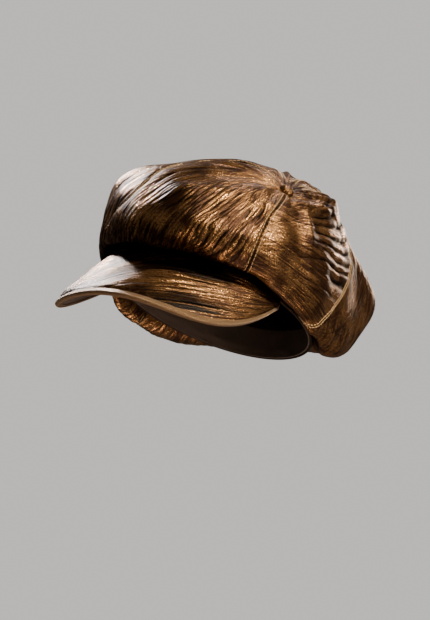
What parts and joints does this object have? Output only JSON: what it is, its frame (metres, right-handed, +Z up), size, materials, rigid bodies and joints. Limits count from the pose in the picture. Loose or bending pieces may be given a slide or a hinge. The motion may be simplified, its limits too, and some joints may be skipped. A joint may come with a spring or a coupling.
{
  "type": "baker boy cap",
  "caption": "Soft baker boy cap with a full pleated crown of sewn panels, a covered button, a stiffened band and a bound downturned brim.",
  "frame": {"origin": "centre of the head opening, in the plane of the band's lower edge", "axes": "+Z up through the crown, -Y to the front over the brim, +X to the wearer's left"},
  "size_m": [0.2072, 0.308, 0.1751],
  "materials": {
    "shell_fabric": "metallic bronze foil on crinkle-pleated cloth",
    "lining": "dark satin lining",
    "thread": "gold polyester topstitching thread",
    "tape": "woven twill tape",
    "stiffener": "pressed non-woven interlining",
    "sweatband": "grosgrain ribbon",
    "board": "flexible peak board",
    "under_cover": "plain dark brown woven cloth",
    "binding": "folded satin bias binding, tan gold",
    "steel": "tinned steel"
  },
  "bodies": {
    "root": {"crown_front_panel": "shell_fabric", "crown_left_panel": "shell_fabric", "crown_back_left_panel": "shell_fabric", "crown_back_right_panel": "shell_fabric", "crown_right_panel": "shell_fabric", "lining_front_panel": "lining", "lining_left_panel": "lining", "lining_back_left_panel": "lining", "lining_back_right_panel": "lining", "lining_right_panel": "lining", "front_right_topstitching": "thread", "front_left_topstitching": "thread", "back_left_topstitching": "thread", "centre_back_topstitching": "thread", "back_right_topstitching": "thread", "crown_seam_tape": "tape", "outer_band": "shell_fabric", "band_stiffener": "stiffener", "sweatband": "sweatband", "brim_top_cover": "shell_fabric", "brim_board": "board", "brim_under_cover": "under_cover", "brim_binding": "binding", "button_cover": "shell_fabric", "button_shell": "steel", "button_back": "steel", "button_prong": "steel", "button_washer": "steel"}
  },
  "joints": []
}
